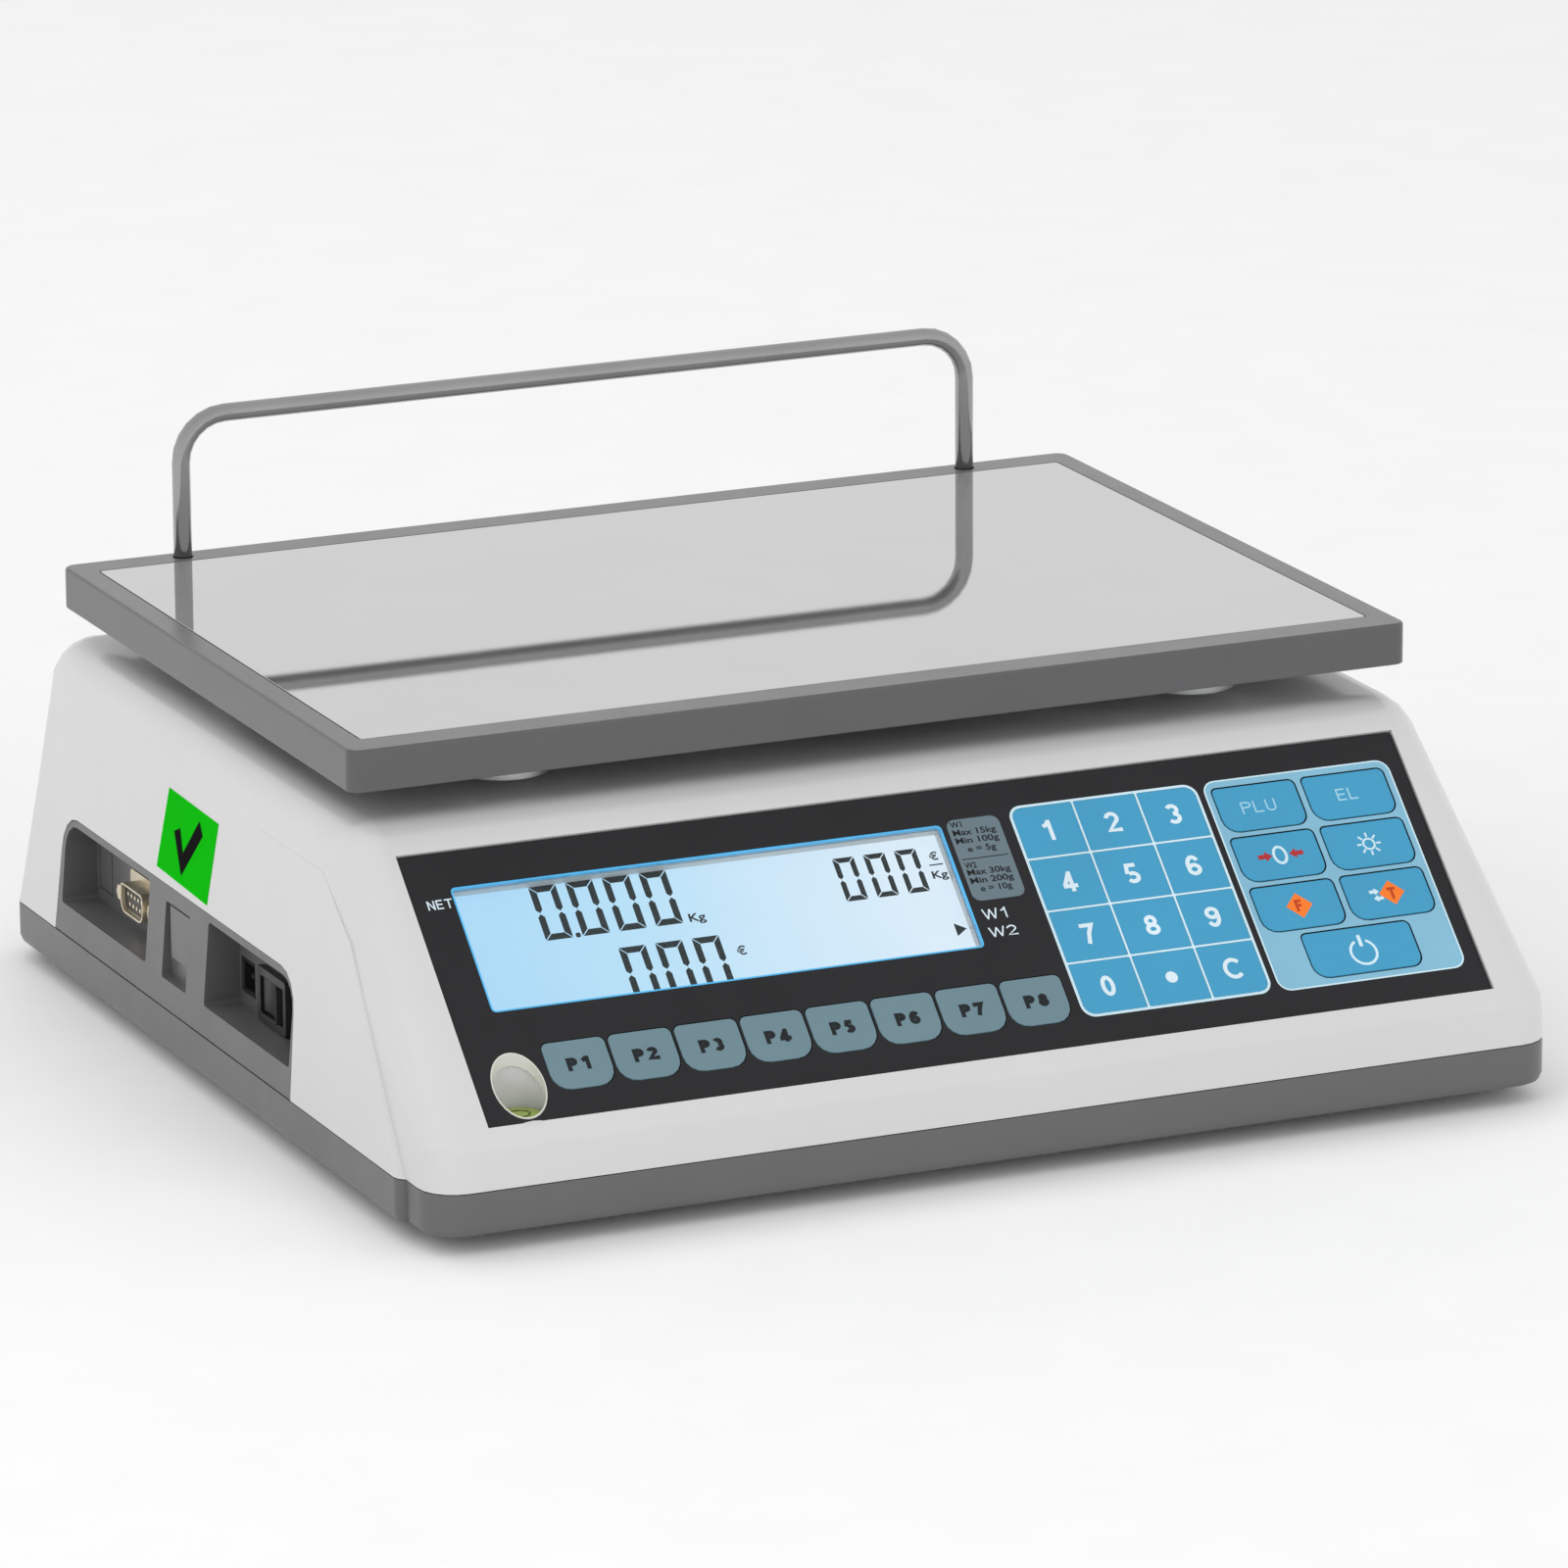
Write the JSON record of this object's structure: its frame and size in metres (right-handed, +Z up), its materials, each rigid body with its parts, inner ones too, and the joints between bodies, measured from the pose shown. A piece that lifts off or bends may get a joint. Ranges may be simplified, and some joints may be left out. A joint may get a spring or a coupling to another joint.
{
  "type": "retail price scale",
  "caption": "Wedge-shaped desktop price-computing scale with a steel weighing plate and rear guard rail, sloping LCD and keypad, back display, side sockets and power rocker.",
  "frame": {"origin": "on the table, under the middle of the scale's outline", "axes": "+Z up, -Y towards the person at the sloping keypad, +X to that person's right"},
  "size_m": [0.352, 0.336, 0.17],
  "materials": {
    "housing_plastic": "moulded ABS, light warm grey, fine texture, glossier on the flat top",
    "base_plastic": "moulded ABS, mid grey, fine texture",
    "overlay_film": "charcoal polyester film, satin",
    "clear_window": "clear acrylic window",
    "lcd": "backlit liquid crystal display, pale blue with dark segments",
    "circuit_board": "green solder mask with black components",
    "vial": "clear acrylic vial filled with yellow-green liquid",
    "pan_paint": "powder-coated steel, mid grey, satin",
    "polished_steel": "stainless steel sheet, near-mirror with fine brushing",
    "rail_steel": "bent round steel rod, satin chrome",
    "cast_aluminium": "machined or die-cast aluminium, satin",
    "battery_case": "dark grey ABS case with two terminal tabs",
    "tinned_steel": "yellow chromate plated steel shell",
    "black_plastic": "black nylon",
    "rubber": "black moulded rubber",
    "zinc_steel": "zinc-plated cross-head screw",
    "blue_key": "blue film with printed symbols, satin",
    "grey_key": "blue-grey film with printed symbols, satin"
  },
  "bodies": {
    "scale_body": {"base_tray": "base_plastic", "top_housing": "housing_plastic", "socket_panel": "base_plastic", "keypad_overlay": "overlay_film", "lcd_lens": "clear_window", "lcd_module": "lcd", "main_board": "circuit_board", "level_vial": "vial", "battery": "battery_case", "battery_cover": "base_plastic", "load_cell": "cast_aluminium", "serial_connector": "tinned_steel", "power_jack": "black_plastic", "switch_frame": "black_plastic", "rear_overlay": "overlay_film", "rear_lcd_module": "lcd", "housing_screw_front_left": "zinc_steel", "housing_screw_front_right": "zinc_steel", "housing_screw_back_left": "zinc_steel", "housing_screw_back_right": "zinc_steel"},
    "weighing_platform": {"pan_support": "cast_aluminium", "support_pad_front_left": "rubber", "support_pad_front_right": "rubber", "support_pad_back_left": "rubber", "support_pad_back_right": "rubber"},
    "weighing_pan": {"pan_frame": "pan_paint", "pan_plate": "polished_steel", "guard_rail": "rail_steel"},
    "switch_rocker": {"rocker_switch": "black_plastic"},
    "front_left_foot": {"foot_front_left": "rubber"},
    "front_right_foot": {"foot_front_right": "rubber"},
    "back_left_foot": {"foot_back_left": "rubber"},
    "back_right_foot": {"foot_back_right": "rubber"},
    "cap_1": {"key_1": "blue_key"},
    "cap_2": {"key_2": "blue_key"},
    "cap_3": {"key_3": "blue_key"},
    "cap_4": {"key_4": "blue_key"},
    "cap_5": {"key_5": "blue_key"},
    "cap_6": {"key_6": "blue_key"},
    "cap_7": {"key_7": "blue_key"},
    "cap_8": {"key_8": "blue_key"},
    "cap_9": {"key_9": "blue_key"},
    "cap_0": {"key_0": "blue_key"},
    "cap_point": {"key_point": "blue_key"},
    "cap_clear": {"key_clear": "blue_key"},
    "cap_lookup": {"key_lookup": "blue_key"},
    "cap_memory": {"key_memory": "blue_key"},
    "cap_zero": {"key_zero": "blue_key"},
    "cap_backlight": {"key_backlight": "blue_key"},
    "cap_function": {"key_function": "blue_key"},
    "cap_tare": {"key_tare": "blue_key"},
    "cap_power": {"key_power": "blue_key"},
    "cap_preset_1": {"key_preset_1": "grey_key"},
    "cap_preset_2": {"key_preset_2": "grey_key"},
    "cap_preset_3": {"key_preset_3": "grey_key"},
    "cap_preset_4": {"key_preset_4": "grey_key"},
    "cap_preset_5": {"key_preset_5": "grey_key"},
    "cap_preset_6": {"key_preset_6": "grey_key"},
    "cap_preset_7": {"key_preset_7": "grey_key"},
    "cap_preset_8": {"key_preset_8": "grey_key"}
  },
  "joints": [
    {"name": "pan_lift_off", "type": "slide", "parent": "weighing_platform", "child": "weighing_pan", "axis": [0, 0, 1], "range_m": [0, 0.05]},
    {"name": "platform_sink", "type": "slide", "parent": "scale_body", "child": "weighing_platform", "axis": [0, 0, -1], "range_m": [0, 0.0003], "stiffness_N_per_m": 400000},
    {"name": "power_switch_rock", "type": "hinge", "parent": "scale_body", "child": "switch_rocker", "pos_m": [-0.162, -0.028, 0.0355], "axis": [0, 0, 1], "range_deg": [0, 18]},
    {"name": "front_left_foot_height", "type": "slide", "parent": "scale_body", "child": "front_left_foot", "axis": [0, 0, -1], "range_m": [0, 0.008]},
    {"name": "front_right_foot_height", "type": "slide", "parent": "scale_body", "child": "front_right_foot", "axis": [0, 0, -1], "range_m": [0, 0.008]},
    {"name": "back_left_foot_height", "type": "slide", "parent": "scale_body", "child": "back_left_foot", "axis": [0, 0, -1], "range_m": [0, 0.008]},
    {"name": "back_right_foot_height", "type": "slide", "parent": "scale_body", "child": "back_right_foot", "axis": [0, 0, -1], "range_m": [0, 0.008]},
    {"name": "press_1", "type": "slide", "parent": "scale_body", "child": "cap_1", "axis": [0, 0.6807, -0.7325], "range_m": [0, 0.0004], "stiffness_N_per_m": 5000},
    {"name": "press_2", "type": "slide", "parent": "scale_body", "child": "cap_2", "axis": [0, 0.6807, -0.7325], "range_m": [0, 0.0004], "stiffness_N_per_m": 5000},
    {"name": "press_3", "type": "slide", "parent": "scale_body", "child": "cap_3", "axis": [0, 0.6807, -0.7325], "range_m": [0, 0.0004], "stiffness_N_per_m": 5000},
    {"name": "press_4", "type": "slide", "parent": "scale_body", "child": "cap_4", "axis": [0, 0.6807, -0.7325], "range_m": [0, 0.0004], "stiffness_N_per_m": 5000},
    {"name": "press_5", "type": "slide", "parent": "scale_body", "child": "cap_5", "axis": [0, 0.6807, -0.7325], "range_m": [0, 0.0004], "stiffness_N_per_m": 5000},
    {"name": "press_6", "type": "slide", "parent": "scale_body", "child": "cap_6", "axis": [0, 0.6807, -0.7325], "range_m": [0, 0.0004], "stiffness_N_per_m": 5000},
    {"name": "press_7", "type": "slide", "parent": "scale_body", "child": "cap_7", "axis": [0, 0.6807, -0.7325], "range_m": [0, 0.0004], "stiffness_N_per_m": 5000},
    {"name": "press_8", "type": "slide", "parent": "scale_body", "child": "cap_8", "axis": [0, 0.6807, -0.7325], "range_m": [0, 0.0004], "stiffness_N_per_m": 5000},
    {"name": "press_9", "type": "slide", "parent": "scale_body", "child": "cap_9", "axis": [0, 0.6807, -0.7325], "range_m": [0, 0.0004], "stiffness_N_per_m": 5000},
    {"name": "press_0", "type": "slide", "parent": "scale_body", "child": "cap_0", "axis": [0, 0.6807, -0.7325], "range_m": [0, 0.0004], "stiffness_N_per_m": 5000},
    {"name": "press_point", "type": "slide", "parent": "scale_body", "child": "cap_point", "axis": [0, 0.6807, -0.7325], "range_m": [0, 0.0004], "stiffness_N_per_m": 5000},
    {"name": "press_clear", "type": "slide", "parent": "scale_body", "child": "cap_clear", "axis": [0, 0.6807, -0.7325], "range_m": [0, 0.0004], "stiffness_N_per_m": 5000},
    {"name": "press_lookup", "type": "slide", "parent": "scale_body", "child": "cap_lookup", "axis": [0, 0.6807, -0.7325], "range_m": [0, 0.0004], "stiffness_N_per_m": 5000},
    {"name": "press_memory", "type": "slide", "parent": "scale_body", "child": "cap_memory", "axis": [0, 0.6807, -0.7325], "range_m": [0, 0.0004], "stiffness_N_per_m": 5000},
    {"name": "press_zero", "type": "slide", "parent": "scale_body", "child": "cap_zero", "axis": [0, 0.6807, -0.7325], "range_m": [0, 0.0004], "stiffness_N_per_m": 5000},
    {"name": "press_backlight", "type": "slide", "parent": "scale_body", "child": "cap_backlight", "axis": [0, 0.6807, -0.7325], "range_m": [0, 0.0004], "stiffness_N_per_m": 5000},
    {"name": "press_function", "type": "slide", "parent": "scale_body", "child": "cap_function", "axis": [0, 0.6807, -0.7325], "range_m": [0, 0.0004], "stiffness_N_per_m": 5000},
    {"name": "press_tare", "type": "slide", "parent": "scale_body", "child": "cap_tare", "axis": [0, 0.6807, -0.7325], "range_m": [0, 0.0004], "stiffness_N_per_m": 5000},
    {"name": "press_power", "type": "slide", "parent": "scale_body", "child": "cap_power", "axis": [0, 0.6807, -0.7325], "range_m": [0, 0.0004], "stiffness_N_per_m": 5000},
    {"name": "press_preset_1", "type": "slide", "parent": "scale_body", "child": "cap_preset_1", "axis": [0, 0.6807, -0.7325], "range_m": [0, 0.0004], "stiffness_N_per_m": 5000},
    {"name": "press_preset_2", "type": "slide", "parent": "scale_body", "child": "cap_preset_2", "axis": [0, 0.6807, -0.7325], "range_m": [0, 0.0004], "stiffness_N_per_m": 5000},
    {"name": "press_preset_3", "type": "slide", "parent": "scale_body", "child": "cap_preset_3", "axis": [0, 0.6807, -0.7325], "range_m": [0, 0.0004], "stiffness_N_per_m": 5000},
    {"name": "press_preset_4", "type": "slide", "parent": "scale_body", "child": "cap_preset_4", "axis": [0, 0.6807, -0.7325], "range_m": [0, 0.0004], "stiffness_N_per_m": 5000},
    {"name": "press_preset_5", "type": "slide", "parent": "scale_body", "child": "cap_preset_5", "axis": [0, 0.6807, -0.7325], "range_m": [0, 0.0004], "stiffness_N_per_m": 5000},
    {"name": "press_preset_6", "type": "slide", "parent": "scale_body", "child": "cap_preset_6", "axis": [0, 0.6807, -0.7325], "range_m": [0, 0.0004], "stiffness_N_per_m": 5000},
    {"name": "press_preset_7", "type": "slide", "parent": "scale_body", "child": "cap_preset_7", "axis": [0, 0.6807, -0.7325], "range_m": [0, 0.0004], "stiffness_N_per_m": 5000},
    {"name": "press_preset_8", "type": "slide", "parent": "scale_body", "child": "cap_preset_8", "axis": [0, 0.6807, -0.7325], "range_m": [0, 0.0004], "stiffness_N_per_m": 5000}
  ]
}
